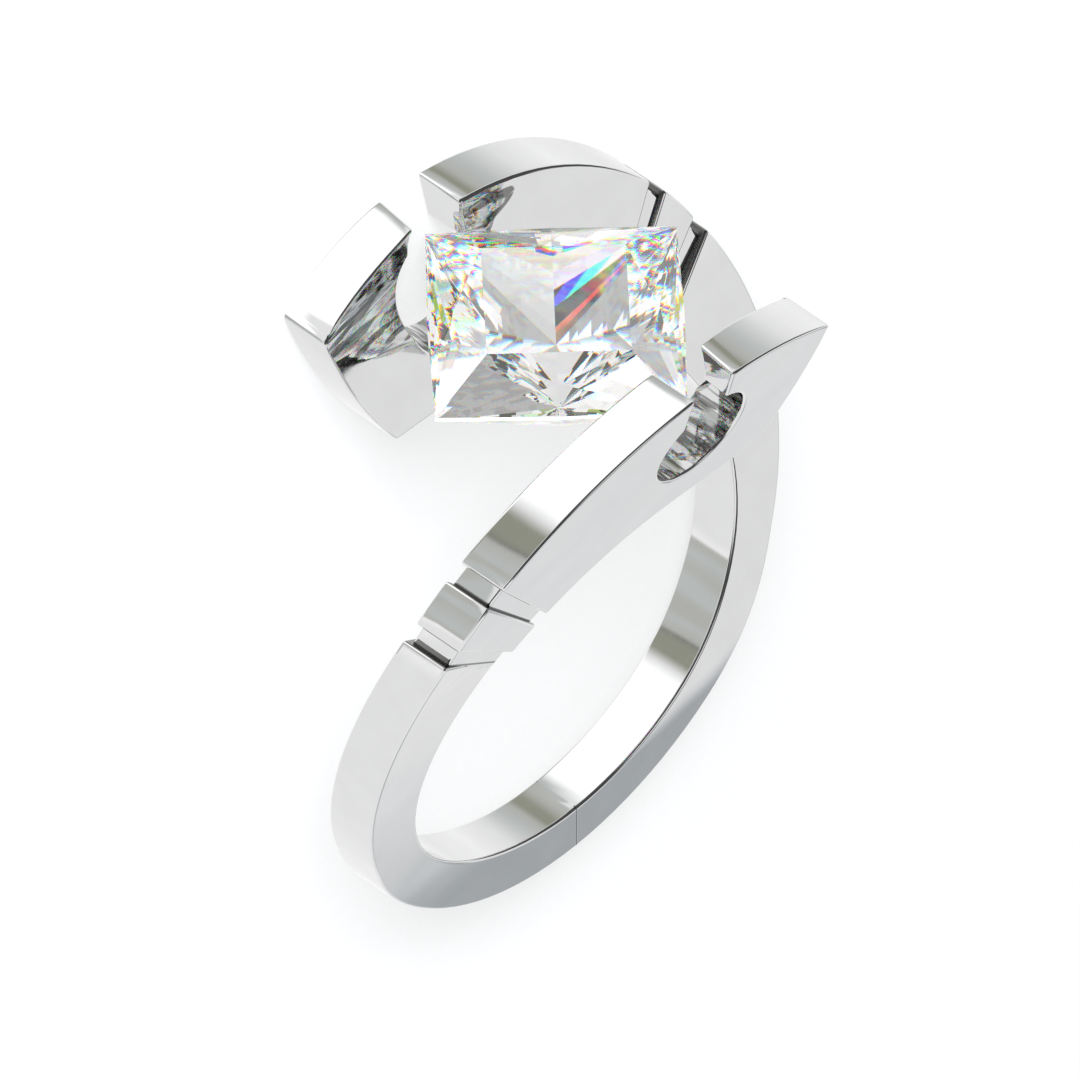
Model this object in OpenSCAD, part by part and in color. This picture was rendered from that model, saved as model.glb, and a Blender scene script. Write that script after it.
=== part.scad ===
// Open ring: a square-section band whose two leaning arms pass each other
// and hold a square princess-cut stone between them. Millimetres.
// The ring lies on its far side, the way it rests on a table by itself.

/* [Band] */

// Inside diameter of the finger hole
finger_d = 17.35; // [14:0.05:22]
// Thickness of the band at the bottom, from finger hole to outside
shank_t = 1.84; // [1.2:0.02:3]
// Width of the band along the finger
wall = 1.80; // [1.2:0.02:3]
// Radius of the circle that shapes the head
head_r = 10.581; // [10:0.001:14]
// Sideways shift of the head circle
head_x = 0.138; // [-1:0.001:1]
// Height of the centre of the head circle
head_z = 4.586; // [2:0.001:6]
// Radius of the flatter circle that shapes the side between band and head
side_r = 14.173; // [11:0.001:20]
// Sideways shift of the side circle
side_x = 3.01; // [0:0.01:6]
// Height of the centre of the side circle
side_z = 2.289; // [0:0.001:6]

/* [Lean] */

// Height where the band begins to leave the middle plane
lean_start = -8.47; // [-9:0.01:-6]
// Radius of the first, tighter bend
lean_r1 = 19.3; // [10:0.1:40]
// Right triangle (base, height, long side) for the angle where the first bend ends
lean_legs = [84, 13, 85]; // [1:1:200]
// How many of that long side the second, gentle bend's radius is larger
lean_step = 0.94; // [0.2:0.01:3]
// Sideways offset of the arm's middle plane, measured at the ring's centre
arm_y = -1.747; // [-4:0.001:0]
// Lean of the arm away from the stone
arm_lean = 14.63; // [5:0.01:25]
// Turn of the arm about the vertical
arm_turn = 2.86; // [0:0.01:8]

/* [Grooves] */

// Angles, from the bottom, between which the first groove runs
groove1 = [130.3, 133.4]; // [100:0.1:170]
// Angles, from the bottom, between which the second groove runs
groove2 = [141.1, 144.1]; // [100:0.1:170]
// Depth of the grooves on the outside and on the inside
groove_in = 0.26; // [0.05:0.01:0.8]
// Depth of the grooves on the two sides
groove_side = 0.16; // [0.02:0.01:0.5]
// Width and depth of the fine seam line at the bottom
seam = 0.07; // [0.02:0.01:0.3]

/* [Opening for the stone] */

// Left wall of the slot through the arm
slot_left = -0.66; // [-3:0.01:0]
// Right wall of the slot through the arm
slot_right = 0.99; // [0:0.01:3]
// Sideways position of the round hole below the slot
hole_x = 0.44; // [-2:0.01:2]
// Height of the round hole below the slot
hole_z = 12.04; // [10:0.01:14]
// Radius of the round hole below the slot
hole_r = 1.84; // [0.5:0.01:3]
// Radius of the rounded end of the arm
end_r = 12.35; // [6:0.01:30]
// Sideways position of the centre of that rounding
end_x = -6.48; // [-20:0.01:5]
// Height of the centre of that rounding
end_z = 15.41; // [5:0.01:25]
// How much the slot's right wall opens toward the stone, degrees
slot_splay = 7.6; // [0:0.1:20]
// Radius of the long hollow on the inner side of the arm's end
scoop_r = 3.06; // [1:0.01:8]
// Start of that hollow's axis, beside the slot
scoop_a = [1.957, -2.052, 13.929]; // [-5:0.01:15]
// End of that hollow's axis, beside the tip
scoop_b = [5.244, -1.622, 13.902]; // [-5:0.01:15]
// Radius of the small hollow on the other side of the slot
nick_r = 2.25; // [1:0.01:6]
// Start of the small hollow's axis
nick_a = [-0.51, -2.456, 14.785]; // [-5:0.01:15]
// End of the small hollow's axis
nick_b = [-2.65, -2.237, 14.867]; // [-5:0.01:15]

/* [Stone] */

// Side of the square stone
stone_side = 7.97; // [5:0.01:10]
// Height of the girdle above the centre of the finger hole
girdle_z = 13.42; // [10:0.01:16]
// Thickness of the girdle
girdle_t = 0.16; // [0.05:0.01:0.5]
// Height of the crown above the girdle
crown_h = 1.07; // [0.5:0.01:2]
// Depth of the pavilion below the girdle
pavilion_h = 4.35; // [3:0.01:6]
// Diagonal of the table as a share of the stone's diagonal
table_share = 0.575; // [0.4:0.01:0.8]
// Clear gap between the stone and the metal
gap = 0.05; // [0.02:0.01:0.2]

/* [Resting] */

// Turn about the ring's cross axis that lays it on its side
lay_tilt = 77.52; // [0:0.01:90]
// Small turn after that, so that it touches where it settles
lay_roll = 2.79; // [-20:0.01:20]

/* [Hidden] */
$fn = 96;
finger_r = finger_d / 2;
band_r = finger_r + shank_t;
stone_hd = stone_side / sqrt(2);

// A wedge of the front view between two angles measured from the bottom,
// clockwise through the left side.
module sector(a0, a1) {
    steps = 6;
    polygon(concat([[0, 0]], [for (i = [0 : steps])
        let (a = a0 + (a1 - a0) * i / steps) [-40 * sin(a), -40 * cos(a)]]));
}

// Outer outline of one half, seen from the front: the band's circle, the
// head's circle and a flatter side between them on the left.
module outer_outline() {
    circle(r = band_r);
    translate([head_x, head_z]) circle(r = head_r);
    intersection() {
        translate([side_x, side_z]) circle(r = side_r);
        sector(58, 142);
    }
}

// Front view of one half: the ring's left branch and the arm that passes
// over the top to the right.
module half_outline() {
    intersection() {
        difference() {
            outer_outline();
            circle(r = finger_r);
        }
        union() {
            translate([-40, -40]) square([40, 80]);
            intersection() {
                translate([-1, finger_r]) square([40, 40]);
                translate([end_x, end_z]) circle(r = end_r);
            }
        }
    }
}

// Front view of the necks: smaller outside and larger inside by the depth
// of the grooves.
module neck_outline() {
    difference() {
        translate([head_x, head_z]) circle(r = head_r - groove_in);
        circle(r = finger_r + groove_in);
    }
}

// Front view turned upright and given depth.
module upright() {
    rotate([90, 0, 0]) linear_extrude(height = 40, center = true) children();
}

// Side view of the band in three lengths: upright at the bottom, then a
// tighter bend, then a gentle one. Both bends end on the line from the first
// centre along the triangle's long side, so they share that end exactly.
module side_wall(w, length) {
    run = [lean_legs[0], lean_legs[1]];
    c1 = [-lean_r1, lean_start];
    c2 = c1 - lean_step * run;
    lean_r2 = lean_r1 + lean_step * lean_legs[2];
    if (length == 0) translate([-w / 2, -30]) square([w, 30 + lean_start]);
    if (length == 1) intersection() {
        translate(c1) difference() { circle(r = lean_r1 + w / 2); circle(r = lean_r1 - w / 2); }
        polygon([c1, c1 + [run[0], 0], c1 + run]);
    }
    if (length == 2) intersection() {
        translate(c2) difference() { circle(r = lean_r2 + w / 2); circle(r = lean_r2 - w / 2); }
        polygon([c1, c1 + run, c1 + [run[0] / 2, 40], c1 + [0, 30]]);
    }
}

module band_sheet(w, length) {
    rotate([90, 0, 90]) linear_extrude(height = 60, center = true) side_wall(w, length);
}

module arm_sheet(w) {
    translate([0, arm_y, 0]) rotate([0, 0, -arm_turn]) rotate([arm_lean, 0, 0])
        cube([80, w, 80], center = true);
}

// The stone's corners, mid-sides and facet points, grown outward by g.
module stone_body(g) {
    h = stone_hd + 1.6 * g;
    m = stone_side / 2 * 1.025 + g;
    t = stone_hd * table_share + g;
    zb = -girdle_t / 2 - 0.4 * g;
    zt = girdle_t / 2 + 0.4 * g;
    s = sqrt(0.5);
    ring4 = function (r, z) [for (i = [0 : 3]) [r * cos(90 * i), r * sin(90 * i), z]];
    mids = function (r, z) [for (i = [0 : 3]) [r * cos(90 * i + 45), r * sin(90 * i + 45), z]];
    pts = concat(
        ring4(h, zb), mids(m, zb),
        ring4(h, zt), mids(m, zt),
        mids(m * 0.815, zb - 0.24 * pavilion_h - g * 0.6),
        mids(m * 0.465, zb - 0.62 * pavilion_h - g * 0.9),
        mids(m * 0.80, zt + 0.56 * crown_h + g * 0.7),
        ring4(t, zt + crown_h + g * 0.6),
        [[0, 0, zb - pavilion_h - 1.3 * g]]);
    cb = 0; mb = 4; ct = 8; mt = 12; p1 = 16; p2 = 20; k1 = 24; tb = 28; culet = 32;
    faces = concat(
        [for (i = [0 : 3]) let (j = (i + 1) % 4) each [
            [cb + i, p1 + i, mb + i], [cb + j, mb + i, p1 + i],
            [cb + i, p2 + i, p1 + i], [cb + j, p1 + i, p2 + i],
            [cb + i, culet, p2 + i], [cb + j, p2 + i, culet],
            [cb + i, mb + i, mt + i, ct + i], [mb + i, cb + j, ct + j, mt + i],
            [ct + i, mt + i, k1 + i], [mt + i, ct + j, k1 + i],
            [ct + i, k1 + i, tb + i], [k1 + i, ct + j, tb + j],
            [tb + i, k1 + i, tb + j]]],
        [[tb, tb + 1, tb + 2, tb + 3]]);
    translate([0, 0, girdle_z])
        polyhedron(points = pts, faces = [for (f = faces) [for (n = [len(f) - 1 : -1 : 0]) f[n]]]);
}

// One half of the metal: band, neck, block, neck and arm.
module half_band() {
    // band up to the first groove
    for (length = [0 : 2]) intersection() {
        upright() half_outline();
        upright() sector(-20, groove1[0]);
        band_sheet(wall, length);
    }
    // block between the grooves, and the arm above them
    intersection() {
        upright() half_outline();
        upright() { sector(groove1[1], groove2[0]); sector(groove2[1], 250); }
        arm_sheet(wall);
    }
    // the necks at the bottom of both grooves
    intersection() {
        upright() neck_outline();
        upright() sector(groove1[0] - 1.5, groove2[1] + 1.5);
        arm_sheet(wall - 2 * groove_side);
    }
}

// A round bar along a line, run on past both of its ends.
module hollow(p, q, r) {
    v = q - p;
    n = norm(v);
    translate(p - v / n * 1.2)
        rotate([0, acos(v[2] / n), atan2(v[1], v[0])]) cylinder(r = r, h = n + 2.4);
}

module half_band_cut() {
    difference() {
        half_band();
        // slot and round hole that take the stone's corner
        translate([0, 0, hole_z]) linear_extrude(height = 10) polygon([
            [slot_left, -12], [slot_right - 5.34 * tan(slot_splay), -12],
            [slot_right + 6.66 * tan(slot_splay), 0], [slot_left, 0]]);
        translate([hole_x, -20, hole_z]) rotate([-90, 0, 0]) cylinder(r = hole_r, h = 20);
        // hollows on the inner side of the arm
        hollow(scoop_a, scoop_b, scoop_r);
        hollow(nick_a, nick_b, nick_r);
    }
}

module whole_band() {
    difference() {
        union() {
            half_band_cut();
            rotate([0, 0, 180]) half_band_cut();
        }
        stone_body(gap);
        for (s = [-1, 1])
            translate([0, s * wall / 2, -finger_r - shank_t / 2])
                cube([seam, seam * 2, 6], center = true);
    }
}

// Lays the upright ring down; the origin stays at the centre of the finger hole.
module laid() {
    rotate([0, lay_roll, 0]) rotate([-lay_tilt, 0, 0]) children();
}

module band() {
    color([0.86, 0.87, 0.88]) laid() whole_band();
}

module stone() {
    color([0.93, 0.96, 1.0, 0.6]) laid() stone_body(0);
}

band();
stone();
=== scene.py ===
# %% [markdown]
# # An open ring with a square stone
# The real thing is a finger ring of polished white metal. Its band splits at
# the top into two leaning arms that pass each other, and a square clear stone
# is gripped between them. This lesson takes the ring's exact solids, dresses
# a copy of each with soft edges or finer facets, gives every surface its
# finish, and sets up a small pale studio round the ring.

# %% Load the ring's solids
import math

import bmesh
import bpy
from mathutils import Matrix, Vector
from mathutils.bvhtree import BVHTree


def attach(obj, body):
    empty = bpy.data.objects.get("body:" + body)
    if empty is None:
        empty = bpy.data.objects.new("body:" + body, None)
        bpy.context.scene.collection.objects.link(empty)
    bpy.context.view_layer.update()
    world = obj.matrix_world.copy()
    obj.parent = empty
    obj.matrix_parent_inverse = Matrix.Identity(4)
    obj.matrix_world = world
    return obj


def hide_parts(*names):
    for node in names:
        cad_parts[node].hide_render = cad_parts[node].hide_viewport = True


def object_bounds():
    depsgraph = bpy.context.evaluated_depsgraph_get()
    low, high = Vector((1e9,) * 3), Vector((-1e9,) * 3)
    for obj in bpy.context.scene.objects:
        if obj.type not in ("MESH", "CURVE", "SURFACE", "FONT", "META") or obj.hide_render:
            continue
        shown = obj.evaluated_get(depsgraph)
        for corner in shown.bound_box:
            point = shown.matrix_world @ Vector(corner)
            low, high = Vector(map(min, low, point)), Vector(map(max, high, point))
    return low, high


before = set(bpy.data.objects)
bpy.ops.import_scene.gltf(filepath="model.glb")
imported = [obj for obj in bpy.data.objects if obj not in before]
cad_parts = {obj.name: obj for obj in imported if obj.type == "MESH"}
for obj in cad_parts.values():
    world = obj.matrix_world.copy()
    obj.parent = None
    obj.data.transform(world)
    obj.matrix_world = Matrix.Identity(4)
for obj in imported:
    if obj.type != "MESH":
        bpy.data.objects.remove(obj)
cad_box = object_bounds()
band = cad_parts["band"]
MM = 0.001
print("solids:", sorted(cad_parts), "box in mm:", [[round(c / MM, 2) for c in p] for p in cad_box])

# %% [markdown]
# ## Which way the ring lies
# The ring rests on its side, as it would on a table. It is easier to think of
# it upright, with the finger hole's axis along Y and the stone on top, so the
# same two turns that lay it down are kept here as one matrix. Any direction
# given for the upright ring is then turned into the scene's own frame.

# %% Turn between the upright ring and the scene
LAY_TILT = 77.52
LAY_ROLL = 2.79
lay = (Matrix.Rotation(math.radians(LAY_ROLL), 3, "Y")
       @ Matrix.Rotation(-math.radians(LAY_TILT), 3, "X"))
hole_axis = lay @ Vector((0, -1, 0))
ring_up = lay @ Vector((0, 0, 1))
ring_across = lay @ Vector((1, 0, 0))
print("hole axis", hole_axis[:], "towards the stone", ring_up[:])

# %% [markdown]
# ## The camera
# A product picture of something this small is taken from far away with a long
# lens, so that parallel edges stay parallel. The camera's direction is given
# from the upright ring: it stands to the left of the front and looks down. A
# known scale in pixels for each millimetre gives the distance, and the place
# of the hole's centre in the picture gives the sideways move.

# %% Camera
VIEW_TURN = math.radians(47.4)
VIEW_RISE = math.radians(47.3)
PICTURE_SIDE = 1080
PIXELS_PER_MM = 31.35
HOLE_PIXEL = (556, 611)
LENS = 1200
SENSOR = 36

turn_sin, turn_cos = math.sin(VIEW_TURN), math.cos(VIEW_TURN)
rise_sin, rise_cos = math.sin(VIEW_RISE), math.cos(VIEW_RISE)
to_camera = lay @ Vector((-turn_sin * rise_cos, -turn_cos * rise_cos, rise_sin))
picture_right = lay @ Vector((turn_cos, -turn_sin, 0))
picture_up = lay @ Vector((turn_sin * rise_sin, turn_cos * rise_sin, rise_cos))

picture_width = PICTURE_SIDE / PIXELS_PER_MM * MM
distance = picture_width * LENS / SENSOR
right_move = (PICTURE_SIDE / 2 - HOLE_PIXEL[0]) / PIXELS_PER_MM * MM
up_move = (HOLE_PIXEL[1] - PICTURE_SIDE / 2) / PIXELS_PER_MM * MM

camera = bpy.data.objects.new("Camera", bpy.data.cameras.new("Camera"))
bpy.context.scene.collection.objects.link(camera)
bpy.context.scene.camera = camera
camera.data.lens = LENS
camera.data.sensor_width = SENSOR
camera.data.clip_start = distance * 0.5
camera.data.clip_end = distance * 4
camera.rotation_mode = "QUATERNION"
camera.rotation_quaternion = Matrix((picture_right, picture_up, to_camera)).transposed().to_quaternion()
camera.location = to_camera * distance + picture_right * right_move + picture_up * up_move
print("camera distance in m:", round(distance, 3))

# %% [markdown]
# ## Plain tones
# Blender's usual way of showing a picture squeezes bright tones, as film
# does, and would turn a white sheet grey. A product picture wants white to
# stay white, so the plain way is chosen, which shows each tone as it is.

# %% Tones
tones_shown = bpy.context.scene.view_settings
tones_shown.view_transform = "Standard"
print("tones are shown the", tones_shown.view_transform, "way")

# %% [markdown]
# ## Writing shader sums as plain arithmetic
# A material is a small network of nodes. Adding each Math node by hand hides
# what is meant, so one class wraps a socket and lets a sum such as
# 1 - mask * 0.3 be written as it reads. Every other node comes from one
# function that first sets the node up and then fills its sockets.

# %% A wire between nodes
class Wire:
    """A socket of a node tree. Arithmetic on it adds Math nodes."""

    def __init__(self, tree, socket):
        self.tree = tree
        self.socket = socket

    def maths(self, operation, first, second=0.0):
        return node(self.tree, "Math", {"operation": operation}, {0: first, 1: second})

    def __add__(self, other):
        return self.maths("ADD", self, other)

    __radd__ = __add__

    def __sub__(self, other):
        return self.maths("SUBTRACT", self, other)

    def __rsub__(self, other):
        return self.maths("SUBTRACT", other, self)

    def __mul__(self, other):
        return self.maths("MULTIPLY", self, other)

    __rmul__ = __mul__

    def __truediv__(self, other):
        return self.maths("DIVIDE", self, other)

    def __pow__(self, other):
        return self.maths("POWER", self, other)

    def __abs__(self):
        return self.maths("ABSOLUTE", self)

    def clear_of(self, low, high):
        """0 below low, 1 above high, and a smooth rise between."""
        settings = {"interpolation_type": "SMOOTHSTEP"}
        return node(self.tree, "MapRange", settings, {"Value": self, "From Min": low, "From Max": high})


def node(tree, kind, settings=None, values=None, out=0):
    """Adds one node, sets it up, fills or links its sockets and gives back a Wire on one output."""
    made = tree.nodes.new("ShaderNode" + kind)
    for name, setting in (settings or {}).items():
        if name == "stops":
            stops = made.color_ramp.elements
            first, *middle, last = setting
            for stop, (place, tone) in zip(list(stops), (first, last)):
                stop.position = place
                stop.color = tone
            for place, tone in middle:
                stops.new(place).color = tone
        else:
            setattr(made, name, setting)
    for name, value in (values or {}).items():
        if isinstance(value, Wire):
            tree.links.new(value.socket, made.inputs[name])
        else:
            made.inputs[name].default_value = value
    return Wire(tree, made.outputs[out]) if made.outputs else None


def mix_colours(tree, share, low, high):
    """A colour between low and high."""
    return node(tree, "Mix", {"data_type": "RGBA"}, {0: share, 6: low, 7: high}, out=2)


def colour(red, green, blue):
    return (red, green, blue, 1.0)


print("shader helpers ready")

# %% [markdown]
# ## Coordinates that follow the ring
# Polishing marks run round a band, so a noise that shows them is squeezed
# along the band's length and left fine across it. That needs coordinates that
# follow the ring: the angle round the finger hole, the distance from its
# centre, and the place along its axis. They come from dot products of a
# point with the ring's own directions, all in millimetres.

# %% Ring coordinates
def dot(tree, one, other):
    """How far one vector goes along another."""
    return node(tree, "VectorMath", {"operation": "DOT_PRODUCT"}, {0: one, 1: other}, out="Value")


def ring_parts(tree, vector):
    """A vector's parts across the ring, along the finger hole's axis, and up to the stone."""
    return [dot(tree, vector, way) for way in (ring_across, hole_axis, ring_up)]


def ring_places(tree):
    """A point's place in mm, and its ring parts."""
    place = node(tree, "TexCoord", out="Object")
    place_mm = node(tree, "VectorMath", {"operation": "SCALE"}, {0: place, "Scale": 1 / MM})
    return place_mm, ring_parts(tree, place_mm)


def new_material(name):
    material = bpy.data.materials.new(name)
    material.use_nodes = True
    material.node_tree.nodes.clear()
    return material, material.node_tree


print("ring axes:", [tuple(round(c, 3) for c in way) for way in (ring_across, hole_axis, ring_up)])

# %% [markdown]
# ## Seam and groove feet
# At the bottom, where the band closes, the real ring shows a hair-fine seam
# on its two flat sides. In the foot of each groove a dark line of painted
# shade stands for the shade that falls there. Both are far finer than the
# rounded edges, so they aren't modelled. The material finds them by their
# place on the ring, with masks that are 1 on the mark and 0 everywhere else.

# %% Masks for the seam and the groove feet
BAND_HALF = 0.9
# each pair gives the two places, in mm or degrees, between which a mask changes
SEAM_EDGE = (0.02, 0.045)
SEAM_TOP = (-8.6, -8.2)
NEAR_THE_SIDES = (BAND_HALF - 0.12, BAND_HALF - 0.08)
GROOVE_FEET = (38.9, 49.7)
FOOT_START = (-0.4, -0.3)
FOOT_END = (0.05, 0.15)


def seam_mask(across, axial, upward):
    on_the_sides = abs(axial).clear_of(*NEAR_THE_SIDES) * (1 - upward.clear_of(*SEAM_TOP))
    return (1 - abs(across).clear_of(*SEAM_EDGE)) * on_the_sides


def painted_foot_shade_mask(angle):
    """Painted shade in the groove feet, found by their angle from the top, which is the same on both sides.
    """
    from_top = abs(angle) * math.degrees(1)
    starts = [from_top.clear_of(*[foot + edge for edge in FOOT_START]) for foot in GROOVE_FEET]
    ends = [from_top.clear_of(*[foot + edge for edge in FOOT_END]) for foot in GROOVE_FEET]
    return sum(start * (1 - end) for start, end in zip(starts, ends))


print("groove feet at", GROOVE_FEET, "degrees from the top")

# %% [markdown]
# ## Streaks in the hollows
# The arms are hollowed out round the stone's corners with round cutters. Their
# walls get dark streaks of painted reflection. A point belongs to a hollow's
# wall if it is one radius away from the cutter's axis and its surface faces
# that axis. The ring's second arm is a half-turn copy of the first, so a
# half-turn brings both to one place and each hollow is described only once.
# The streaks are a noise that is drawn out one way.

# %% Mask for the streaks
STREAKS_PER_MM = 4.0
STREAK_LENGTH = 8.0
ALONG_X = Vector((1 / STREAK_LENGTH, 1, 1))
ALONG_Y = Vector((1, 1 / STREAK_LENGTH, 1))
# hollows in the near arm, in mm on the upright ring: two points of the axis, the radius,
# and the way in which its streaks are drawn out
HOLLOWS = [
    (Vector((1.957, -2.052, 13.929)), Vector((5.244, -1.622, 13.902)), 3.06, ALONG_X),
    (Vector((-0.51, -2.456, 14.785)), Vector((-2.65, -2.237, 14.867)), 2.25, ALONG_X),
    (Vector((0.44, -5.0, 12.04)), Vector((0.44, 0.0, 12.04)), 1.84, ALONG_Y),
]
OFF_THE_WALL = (0.002, 0.006)
FACES_THE_AXIS = (0.9, 0.96)
STREAK_EDGE = (0.47, 0.55)


# Painted dark reflections: dark streaks on the walls of the hollows round the stone's corners.
def painted_hollow_reflections(tree, across, axial, upward):
    side = node(tree, "Math", {"operation": "SIGN"}, {0: axial})
    place = node(tree, "CombineXYZ", values={"X": across * side, "Y": -1 * abs(axial), "Z": upward})
    n_across, n_axial, n_up = ring_parts(tree, node(tree, "TexCoord", out="Normal"))
    facing = node(tree, "CombineXYZ", values={"X": n_across * side, "Y": -1 * n_axial * side, "Z": n_up})
    marks = []
    for start, end, radius, draw in HOLLOWS:
        axis = (end - start).normalized()
        offset = node(tree, "VectorMath", {"operation": "SUBTRACT"}, {0: place, 1: start})
        along = dot(tree, offset, axis)
        on_axis = node(tree, "VectorMath", {"operation": "SCALE"}, {0: axis, "Scale": along})
        inward = node(tree, "VectorMath", {"operation": "SUBTRACT"}, {0: on_axis, 1: offset})
        away = node(tree, "VectorMath", {"operation": "LENGTH"}, {0: inward}, out="Value")
        at_wall = 1 - abs(away - radius).clear_of(*OFF_THE_WALL)
        faces_axis = (dot(tree, inward, facing) / away).clear_of(*FACES_THE_AXIS)
        drawn_out = node(tree, "VectorMath", {"operation": "MULTIPLY"}, {0: place, 1: draw})
        streaks = node(tree, "TexNoise", values={
            "Vector": drawn_out, "Scale": STREAKS_PER_MM, "Detail": 3.0})
        marks.append(at_wall * faces_axis * streaks.clear_of(*STREAK_EDGE))
    return sum(marks)


print("hollows in each arm:", len(HOLLOWS))

# %% [markdown]
# ## Polished white metal
# Rhodium-plated silver is a mirror, so what one sees is the room. What makes
# it look real is the little that disturbs the mirror: very fine polishing
# lines round the band, a faint waviness left by the buffing wheel, a few
# hairline scratches from wear and a slight change of tone. These are noises
# in the ring's coordinates that move the roughness, the colour and the bump.
# The heights are in millimetres, so they can be compared with the ring. The
# seam, the painted shade in the groove feet and the painted dark reflections
# in the hollows, from the two cells before, are mixed in last.

# %% Metal
METAL_LIGHT = colour(0.725, 0.727, 0.73)
METAL_DEEP = colour(0.705, 0.706, 0.708)
# dark tone for the seam's joint, and for the painted shade in the groove feet and the painted dark
# reflections in the hollows
METAL_DARK = colour(0.13, 0.13, 0.125)
WAVE_HEIGHT = 0.024
LINE_HEIGHT = 0.0001
SCRATCH_DEPTH = 0.0001
SEAM_DEPTH = 0.004
LINES_ALONG = 1.2
LINES_ACROSS = 9.0
SCRATCH_WIDTH = 0.012
MIRROR_ROUGHNESS = 0.045
MARK_ROUGHNESS = 0.05
FOOT_ROUGHNESS = 0.2


def polished_metal(name):
    material, tree = new_material(name)
    place_mm, (across, axial, upward) = ring_places(tree)
    angle = node(tree, "Math", {"operation": "ARCTAN2"}, {0: across, 1: upward})
    radius = (across * across + upward * upward) ** 0.5
    round_the_band = node(tree, "CombineXYZ", values={
        "X": angle * LINES_ALONG, "Y": axial * LINES_ACROSS, "Z": radius * LINES_ACROSS})

    lines = node(tree, "TexNoise", values={
        "Vector": round_the_band, "Scale": 2.2, "Detail": 5.0, "Roughness": 0.65})
    waves = node(tree, "TexNoise", values={"Vector": place_mm, "Scale": 0.33, "Detail": 0.8})
    cloud = node(tree, "TexNoise", values={"Vector": place_mm, "Scale": 0.9, "Detail": 4.0})
    hairs = node(tree, "TexVoronoi", {"feature": "DISTANCE_TO_EDGE"},
                 {"Vector": place_mm, "Scale": 0.8})
    scratches = (1 - hairs.clear_of(0.0, SCRATCH_WIDTH)) * cloud.clear_of(0.52, 0.62)
    seam = seam_mask(across, axial, upward)
    # painted shade: a dark line in the foot of each groove
    feet = painted_foot_shade_mask(angle)
    # painted dark reflections in streaks on the hollows' walls
    streaks = painted_hollow_reflections(tree, across, axial, upward)

    worn = lines.clear_of(0.35, 0.75) + scratches
    roughness = MIRROR_ROUGHNESS + MARK_ROUGHNESS * worn + FOOT_ROUGHNESS * feet
    clean_tone = mix_colours(tree, cloud.clear_of(0.3, 0.7), METAL_DEEP, METAL_LIGHT)
    # darkness mixes the seam's dark joint with painted shade in the groove feet and painted dark reflection
    # streaks in the hollows
    darkness = 0.7 * seam + 0.9 * feet + 0.85 * streaks
    tone = mix_colours(tree, darkness, clean_tone, METAL_DARK)
    height = WAVE_HEIGHT * waves + LINE_HEIGHT * lines - SCRATCH_DEPTH * scratches - SEAM_DEPTH * seam
    bump = node(tree, "Bump", values={"Strength": 1.0, "Distance": MM, "Height": height})
    shader = node(tree, "BsdfPrincipled", values={
        "Base Color": tone, "Roughness": roughness, "Normal": bump, "Metallic": 1.0})
    node(tree, "OutputMaterial", values={"Surface": shader})
    return material


metal = polished_metal("polished white metal")
print("metal nodes:", len(metal.node_tree.nodes))

# %% [markdown]
# ## Soft edges on the metal
# No polished edge is truly sharp: the buffing wheel leaves a tiny round that
# catches a bright line and a dark line beside it. A Bevel modifier could do
# it, but the band has narrow corners where a plain bevel folds over itself,
# so a copy of the mesh is rounded in code. Points that lie on each other are
# joined. The two slots of the seam are narrower than the round and would tear
# it, so they are closed, and the material draws the seam. Flat areas lose
# their triangles, and the sharp outward edges are rounded. Inward corners
# stay sharp, because a wheel can't reach them. Points that the rounding
# pushed out of the solid are drawn back onto it and smoothed.

# %% Helpers for the rounding
BAND_SIDE = BAND_HALF * MM
SEAM_HALF = 0.04 * MM
SAME_POINT = 0.0005 * MM
OUT_OF_THE_SOLID = 4 * SAME_POINT
SOFTENING_TURNS = 12


def close_seam(bm):
    """Moves the bottoms of the two fine slots out to the band's flat sides."""
    moved = 0
    for vertex in bm.verts:
        point = lay.transposed() @ vertex.co
        inside = abs(point.y) < BAND_SIDE - SAME_POINT
        if abs(point.x) < SEAM_HALF and point.z < 0 and inside:
            point.y = math.copysign(BAND_SIDE, point.y)
            vertex.co = lay @ point
            moved += 1
    return moved


def draw_back(bm, surface):
    """Brings points that left the solid back onto it, and smooths them."""
    moved = []
    for vertex in bm.verts:
        nearest, normal, _, _ = surface.find_nearest(vertex.co)
        if (vertex.co - nearest).dot(normal) > OUT_OF_THE_SOLID:
            vertex.co = nearest
            moved.append(vertex)
    for _ in range(SOFTENING_TURNS):
        bmesh.ops.smooth_vert(bm, verts=moved, factor=0.5, use_axis_x=True, use_axis_y=True, use_axis_z=True)
    return len(moved)


def join_points(bm):
    bmesh.ops.remove_doubles(bm, verts=bm.verts, dist=SAME_POINT)


print("points closer than", SAME_POINT / MM, "mm count as one")

# %% Band with rounded edges
EDGE_ROUND = 0.11 * MM
FLAT = math.radians(0.4)
SHARP = math.radians(28)
STILL_SHARP = math.radians(40)


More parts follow.
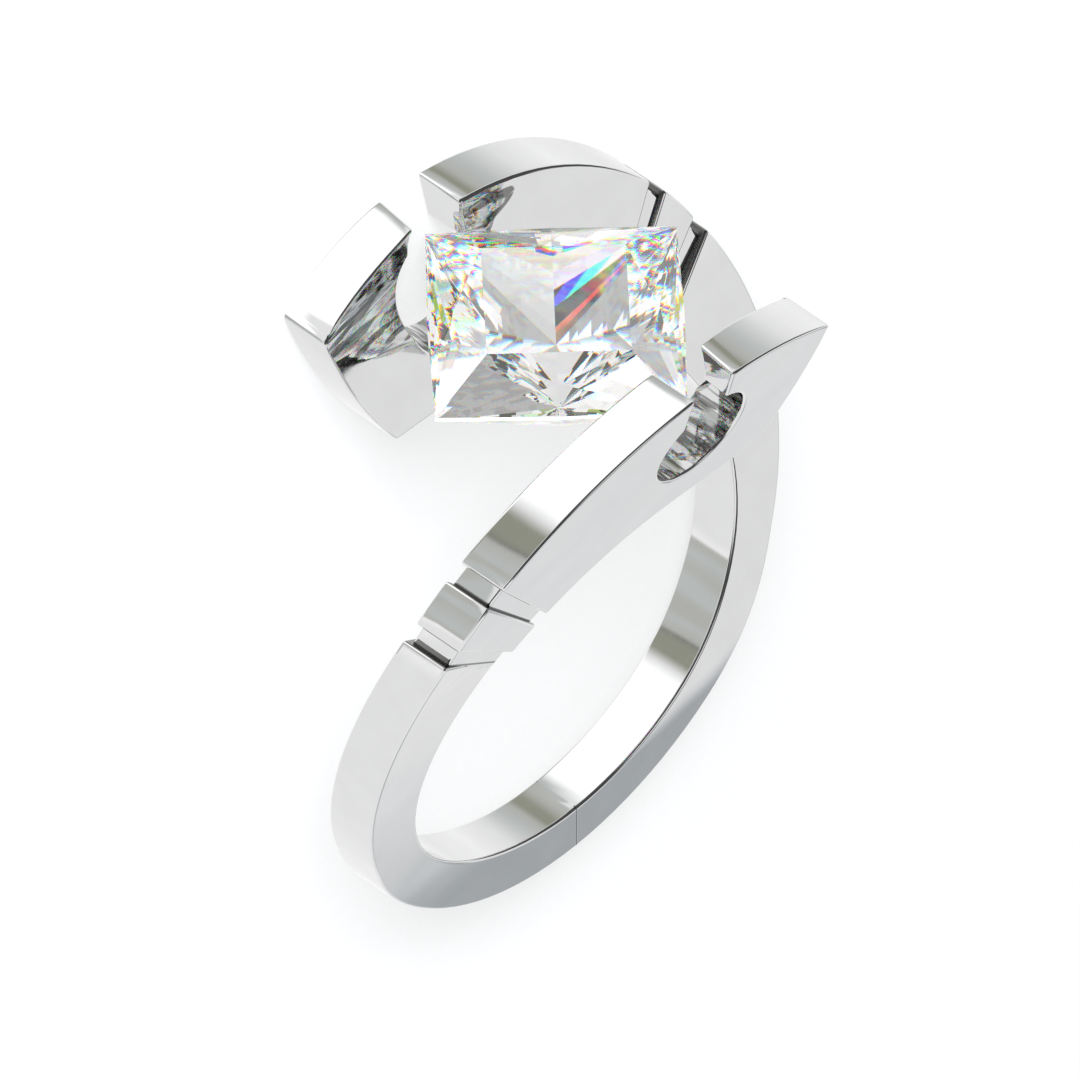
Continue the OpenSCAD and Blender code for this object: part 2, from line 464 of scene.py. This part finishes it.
def rounded_copy(solid, name, width):
    bm = bmesh.new()
    bm.from_mesh(solid.data)
    join_points(bm)
    print("seam points moved:", close_seam(bm))
    join_points(bm)
    bmesh.ops.dissolve_limit(bm, angle_limit=FLAT, verts=bm.verts, edges=bm.edges)
    sharp = [e for e in bm.edges if len(e.link_faces) == 2 and e.is_convex
             and e.calc_face_angle(0) > SHARP]
    surface = BVHTree.FromBMesh(bm)
    bmesh.ops.bevel(bm, geom=sharp, offset=width, segments=3, profile=0.5,
                    affect="EDGES", clamp_overlap=False, miter_outer="ARC")
    print("points drawn back:", draw_back(bm, surface))
    join_points(bm)
    print("open edges:", sum(not edge.is_manifold for edge in bm.edges))
    for face in bm.faces:
        face.smooth = True
    for edge in bm.edges:
        edge.smooth = edge.calc_face_angle(0) < STILL_SHARP
    mesh = bpy.data.meshes.new(name)
    bm.to_mesh(mesh)
    bm.free()
    made = bpy.data.objects.new(name, mesh)
    bpy.context.scene.collection.objects.link(made)
    shade = made.modifiers.new("Even shading", "WEIGHTED_NORMAL")
    shade.weight = 100
    shade.keep_sharp = True
    print(name, "rounded edges:", len(sharp), "faces:", len(mesh.polygons))
    return made


polished_band = rounded_copy(band, "polished_band", EDGE_ROUND)
polished_band.data.materials.append(metal)
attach(polished_band, "root")
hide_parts("band")

# %% [markdown]
# ## The cut stone
# A cut stone is clear, and all of its life comes from light that bounces
# inside it. Its high index bends blue more than red, which splits white light
# into small flashes of colour. Blender's glass has one index for all colours,
# so where light enters, three glasses are added: one for red, one for green
# and one for blue, each with its own index. Inside, one glass is enough, and
# it keeps the picture free of noise, so the count of passes through glass
# chooses between them. A picture follows light through only so many bounces,
# and what is left after them would be black. A real stone has by then broken
# the room into slivers of light, dark and pure colour. So after a few bounces
# the light is taken from small cells of such tones, which the facets in front
# of them fold into splinters. Round the girdle, its thin waist, the stone is
# left finely ground, so a frosted finish shows there.

# %% Clear glass and its slivers
INDEX_MIDDLE = 2.04
INDEX_SPREAD = 0.04
FOLLOWED_BOUNCES = 4
# tones of the painted light that glows in the stone's cells
SLIVER_LIGHT = colour(0.98, 0.98, 0.98)
SLIVER_DARK = colour(0.15, 0.15, 0.135)
CELLS_PER_MM = 1.8
CELL_SQUEEZE = 2.0
DARK_CELLS = (0.42, 0.62)
FIRE_CELLS = (0.85, 0.89)
FIRE_SHARE = 0.5


def splitting_glass(tree):
    """Three glasses where light enters, and one inside."""
    inside = node(tree, "BsdfGlass", values={"IOR": INDEX_MIDDLE, "Roughness": 0.0})
    red, green, blue = [
        node(tree, "BsdfGlass", values={
            "Color": tint, "Roughness": 0.0, "IOR": INDEX_MIDDLE + step * INDEX_SPREAD})
        for tint, step in ((colour(1, 0, 0), -1), (colour(0, 1, 0), 0), (colour(0, 0, 1), 1))
    ]
    red_green = node(tree, "AddShader", values={0: red, 1: green})
    entering = node(tree, "AddShader", values={0: red_green, 1: blue})
    passes = node(tree, "LightPath", out="Transmission Depth")
    return node(tree, "MixShader", values={0: passes.clear_of(0.4, 0.6), 1: entering, 2: inside})


def sliver_light(tree, across, axial, upward):
    """Painted light: glowing cells of light, dark and pure colour that stand in for the room seen after the
    followed bounces.
    """
    squeezed = node(tree, "CombineXYZ", values={"X": across, "Y": axial, "Z": upward * CELL_SQUEEZE})
    cells = node(tree, "TexVoronoi", values={"Vector": squeezed, "Scale": CELLS_PER_MM}, out="Color")
    pick_dark, pick_fire = [node(tree, "SeparateColor", values={0: cells}, out=part) for part in (0, 1)]
    greys = mix_colours(tree, pick_dark.clear_of(*DARK_CELLS), SLIVER_LIGHT, SLIVER_DARK)
    tones = mix_colours(tree, FIRE_SHARE * pick_fire.clear_of(*FIRE_CELLS), greys, cells)
    return node(tree, "BsdfPrincipled", values={
        "Base Color": colour(0.0, 0.0, 0.0), "Roughness": 1.0, "Specular IOR Level": 0.0,
        "Emission Color": tones, "Emission Strength": 1.0})


print("index of refraction:", INDEX_MIDDLE, "more or less", INDEX_SPREAD)

# %% Stone
GIRDLE_UP = 13.42
GIRDLE_RIM = (0.0675, 0.0825)
FROST_DEEP = colour(0.80, 0.83, 0.86)
FROST_PALE = colour(0.95, 0.96, 0.97)


def cut_stone(name):
    material, tree = new_material(name)
    place_mm, (across, axial, upward) = ring_places(tree)
    bounces = node(tree, "LightPath", out="Ray Depth")
    too_many = bounces.clear_of(FOLLOWED_BOUNCES - 0.6, FOLLOWED_BOUNCES - 0.4)
    clear = node(tree, "MixShader", values={
        0: too_many, 1: splitting_glass(tree), 2: sliver_light(tree, across, axial, upward)})

    grain = node(tree, "TexNoise", values={"Vector": place_mm, "Scale": 14.0, "Detail": 3.0})
    frost = node(tree, "BsdfPrincipled", values={
        "Base Color": mix_colours(tree, grain, FROST_DEEP, FROST_PALE),
        "Roughness": 0.35 + grain * 0.2, "Specular IOR Level": 0.8})
    waist = 1 - abs(upward - GIRDLE_UP).clear_of(*GIRDLE_RIM)
    shader = node(tree, "MixShader", values={0: waist, 1: clear, 2: frost})
    node(tree, "OutputMaterial", values={"Surface": shader})
    return material


clear_stone = cut_stone("clear cut stone")
print("stone material nodes:", len(clear_stone.node_tree.nodes))

# %% [markdown]
# ## Facets of the princess cut
# Below its girdle a princess-cut stone has chevrons: narrow facets that fan
# out from each corner, each a little steeper than the last. Four or more in a
# fan give the splintered, glittering look near the corners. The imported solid
# has two in each fan. The dressed stone has eight. It is the convex hull of
# its corner points, which is how a stone is cut: each facet is a flat plane
# that leaves nothing outside it. It keeps within a tenth of a millimetre of
# the solid, so the seat in the metal still fits.

# %% Facets
STONE_SIDE = 7.97
SIDE_SWELL = 1.025
CORNER_OUT = STONE_SIDE / math.sqrt(2)
SIDE_OUT = STONE_SIDE / 2 * SIDE_SWELL
GIRDLE_HALF = 0.08
CROWN = 1.07
CROWN_BREAK_UP = 0.56
CROWN_BREAK_OUT = 0.80
TABLE_SHARE = 0.575
PAVILION = 4.35
# shares of the pavilion's depth, and of the half width there
CHEVRONS = [(0.06, 0.955), (0.13, 0.899), (0.24, 0.806), (0.36, 0.699),
            (0.49, 0.574), (0.62, 0.440), (0.75, 0.296), (0.88, 0.146)]


def four_round(reach, height, turn):
    """Four points round the stone's axis, in mm, from a first direction in degrees."""
    angles = [math.radians(turn + 90 * i) for i in range(4)]
    return [Vector((reach * math.cos(a), reach * math.sin(a), GIRDLE_UP + height)) for a in angles]


points = [Vector((0, 0, GIRDLE_UP - GIRDLE_HALF - PAVILION))]
for height in (-GIRDLE_HALF, GIRDLE_HALF):
    points += four_round(CORNER_OUT, height, 0) + four_round(SIDE_OUT, height, 45)
points += four_round(SIDE_OUT * CROWN_BREAK_OUT, GIRDLE_HALF + CROWN_BREAK_UP * CROWN, 45)
points += four_round(CORNER_OUT * TABLE_SHARE, GIRDLE_HALF + CROWN, 0)
for depth, share in CHEVRONS:
    points += four_round(SIDE_OUT * share, -GIRDLE_HALF - depth * PAVILION, 45)
print("corner points of the stone:", len(points))

# %% Dressed stone
SAME_FACET = math.radians(0.05)

bm = bmesh.new()
for point in points:
    bm.verts.new(lay @ point * MM)
bmesh.ops.convex_hull(bm, input=bm.verts)
bmesh.ops.dissolve_limit(bm, angle_limit=SAME_FACET, verts=bm.verts, edges=bm.edges)
bmesh.ops.recalc_face_normals(bm, faces=bm.faces)
cut_mesh = bpy.data.meshes.new("cut_stone")
bm.to_mesh(cut_mesh)
bm.free()
cut_mesh.materials.append(clear_stone)
cut = bpy.data.objects.new("cut_stone", cut_mesh)
bpy.context.scene.collection.objects.link(cut)
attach(cut, "root")
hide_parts("stone")
print("stone facets:", len(cut_mesh.polygons))

# %% [markdown]
# ## Floor
# The ring lies on a plain white sheet that is lit a little from below, as on
# the light tables that are used for product pictures: that keeps shadows pale
# even close under the metal. Mirrors don't see the sheet: they see the papers
# of a later step, which would lie on it far round the ring. It isn't part of
# the ring.

# %% Floor
FLOOR_HALF = 0.9
FLOOR_GLOW = 0.68
floor_mesh = bpy.data.meshes.new("Floor")
floor_corners = [(sx * FLOOR_HALF, sy * FLOOR_HALF, cad_box[0].z) for sx, sy in
                 ((-1, -1), (1, -1), (1, 1), (-1, 1))]
floor_mesh.from_pydata(floor_corners, [], [(0, 1, 2, 3)])
floor = bpy.data.objects.new("Floor", floor_mesh)
bpy.context.scene.collection.objects.link(floor)

board, tree = new_material("pale board")
floor_place = node(tree, "TexCoord", out="Object")
fibre = node(tree, "TexNoise", values={"Vector": floor_place, "Scale": 2500.0, "Detail": 4.0})
board_tone = mix_colours(tree, fibre, colour(0.16, 0.163, 0.168), colour(0.18, 0.183, 0.188))
board_shader = node(tree, "BsdfPrincipled", values={
    "Base Color": board_tone, "Roughness": 0.9, "Specular IOR Level": 0.1,
    "Emission Color": colour(1.0, 1.0, 1.0), "Emission Strength": FLOOR_GLOW})
node(tree, "OutputMaterial", values={"Surface": board_shader})
floor_mesh.materials.append(board)
floor.visible_glossy = False
print("floor at z in mm:", round(cad_box[0].z / MM, 3))

# %% [markdown]
# ## Directions in the room
# Mirrors show the room, so the room is designed as much as the ring. It could
# be built from lamps and boards, but a world shader that gives a tone for
# each direction is quicker to render and easier to move. It needs a few
# helpers: a unit vector for a compass direction and a height in degrees, how
# far a ray goes in a direction, and a belt between two heights.

# %% Room helpers
world = bpy.data.worlds.new("Studio")
bpy.context.scene.world = world
world.use_nodes = True
world.node_tree.nodes.clear()
sky = world.node_tree
way = node(sky, "TexCoord", out="Generated")


def heading(azimuth, elevation):
    """Unit vector for a direction given in degrees."""
    a, e = math.radians(azimuth), math.radians(elevation)
    return Vector((math.cos(a) * math.cos(e), math.sin(a) * math.cos(e), math.sin(e)))


def toward(direction):
    """How far a ray goes in a direction, from -1 to 1."""
    return dot(sky, way, direction)


def sine(degrees):
    return math.sin(math.radians(degrees))


rise = toward((0, 0, 1))


def height_belt(low, low_full, high_full, high):
    """1 between two heights above the horizon, in degrees, with soft borders."""
    return rise.clear_of(sine(low), sine(low_full)) * (1 - rise.clear_of(sine(high_full), sine(high)))


print("room helpers ready")

# %% [markdown]
# ## Belts above the horizon
# The room is bright overhead. A dark belt above the horizon is what draws a
# thin dark line along every rounded edge, beside the bright one from
# overhead. In front of the ring the dark belt starts higher up, and a grey
# one lies below it, because the band's flat sides look there. Light that has
# passed through the stone sees a weaker dark belt, so that the stone stays
# bright.

# %% Belts
FRONT = heading(-60, 15)
FRONT_EDGE = (math.cos(math.radians(42)), math.cos(math.radians(22)))
BEHIND_EDGE = (-0.3, 0.0)
BELT_BEHIND = (3, 8, 70, 80)
BELT_IN_FRONT = (46, 50, 70, 80)
GREY_BELT = (-14, 14, 15, 22)
ROOM_LIGHT = 1.05
BELT_DARKNESS = 0.97
FRONT_DARKNESS = 0.08
GREY_DARKNESS = 0.46
BELT_LOST_IN_STONE = 0.4

in_front = toward(FRONT).clear_of(*FRONT_EDGE)
behind = toward((0, 1, 0)).clear_of(*BEHIND_EDGE)
through_stone = node(sky, "LightPath", out="Is Transmission Ray")
in_mirrors = node(sky, "LightPath", out="Is Glossy Ray") * (1 - BELT_LOST_IN_STONE * through_stone)
dark_belt = height_belt(*BELT_BEHIND) * behind + height_belt(*BELT_IN_FRONT) * (1 - behind)
grey_belt = height_belt(*GREY_BELT) * in_front
darkened = BELT_DARKNESS * dark_belt * in_mirrors + FRONT_DARKNESS * in_front + GREY_DARKNESS * grey_belt
brightness = ROOM_LIGHT - darkened
print("dark belt behind the ring from", BELT_BEHIND[0], "to", BELT_BEHIND[-1], "degrees")

# %% [markdown]
# ## Papers below the horizon
# The outer faces of the arms look down past the horizon. A mirror that sees
# only white has no shape, so papers stand in a circle round the ring there:
# brilliant ones, olive and slate ones. They are written as a ramp of tones by
# compass direction, chosen so that each arm darkens and brightens
# where the real one does. Through the stone they are seen a little paler.

# %% Papers round the ring
TABLE = (0.98, 0.98, 0.98)
LIGHT = (1.12, 1.12, 1.12)
BRILLIANT = (1.4, 1.4, 1.4)
ASH = (0.57, 0.575, 0.54)
SLATE = (0.62, 0.65, 0.64)
OLIVE = (0.36, 0.365, 0.30)
SHADE = (0.25, 0.25, 0.22)
COOL = (0.93, 0.98, 1.02)
# compass direction in degrees from +X towards +Y, and the paper's tone there
PAPERS = [
    (-180, LIGHT), (-176, TABLE), (-17, TABLE), (6, LIGHT), (22, TABLE), (36, SLATE), (42, ASH),
    (45, OLIVE), (49, OLIVE), (54, ASH), (60, SLATE), (66, BRILLIANT), (124, BRILLIANT), (128, TABLE),
    (132, OLIVE), (139, OLIVE), (140.5, SHADE), (142, ASH), (147, SLATE), (149, ASH), (154, ASH),
    (157, SLATE), (163, SLATE), (167, ASH), (173, SLATE), (177, ASH), (179, ASH), (180, LIGHT),
]
PAPERS_TOP = (sine(-11), sine(-7))
PAPERS_LOST_IN_STONE = 0.2
BRIGHTEST = max(BRILLIANT)


def shared(tone):
    """A tone as a share of the brightest one, since a ramp holds no more than 1."""
    return colour(*(part / BRIGHTEST for part in tone))


compass = node(sky, "Math", {"operation": "ARCTAN2"}, {0: toward((0, 1, 0)), 1: toward((1, 0, 0))})
stops = [(azimuth / 360 + 0.5, shared(tone)) for azimuth, tone in PAPERS]
papers = node(sky, "ValToRGB", {"stops": stops}, {"Fac": compass / (2 * math.pi) + 0.5})
plain = shared((1, 1, 1))
softer_papers = mix_colours(sky, PAPERS_LOST_IN_STONE * through_stone, papers, plain)
above = mix_colours(sky, grey_belt, plain, shared(COOL))
room_colour = mix_colours(sky, rise.clear_of(*PAPERS_TOP), softer_papers, above)
background = node(sky, "Background", values={"Color": room_colour, "Strength": brightness * BRIGHTEST})
node(sky, "OutputWorld", values={"Surface": background})
print("room nodes:", len(sky.nodes))

# %% [markdown]
# ## A lamp for the shadow
# Under the room alone the sheet shows hardly any shadow, because light comes
# to it from all sides. One broad lamp behind the ring's head gives it a pale
# one with soft borders. A small lamp would give hard borders. Only dull
# surfaces see the lamp, so it makes no spot in the metal or the stone.

# %% Soft lamp
def soft_lamp(name, azimuth, elevation, reach, side, power):
    """A square area lamp that faces the ring from a direction in degrees, at a reach in mm."""
    lamp = bpy.data.objects.new(name, bpy.data.lights.new(name, "AREA"))
    bpy.context.scene.collection.objects.link(lamp)
    lamp.data.shape = "SQUARE"
    lamp.data.size = side * MM
    lamp.data.energy = power
    direction = heading(azimuth, elevation)
    lamp.location = direction * reach * MM
    lamp.rotation_mode = "QUATERNION"
    lamp.rotation_quaternion = direction.to_track_quat("Z", "Y")
    for ray in ("camera", "glossy", "transmission"):
        setattr(lamp, "visible_" + ray, False)
    return lamp


key = soft_lamp("Key lamp", azimuth=112, elevation=28, reach=260, side=160, power=2.0)
print("key lamp at", [round(c, 3) for c in key.location])
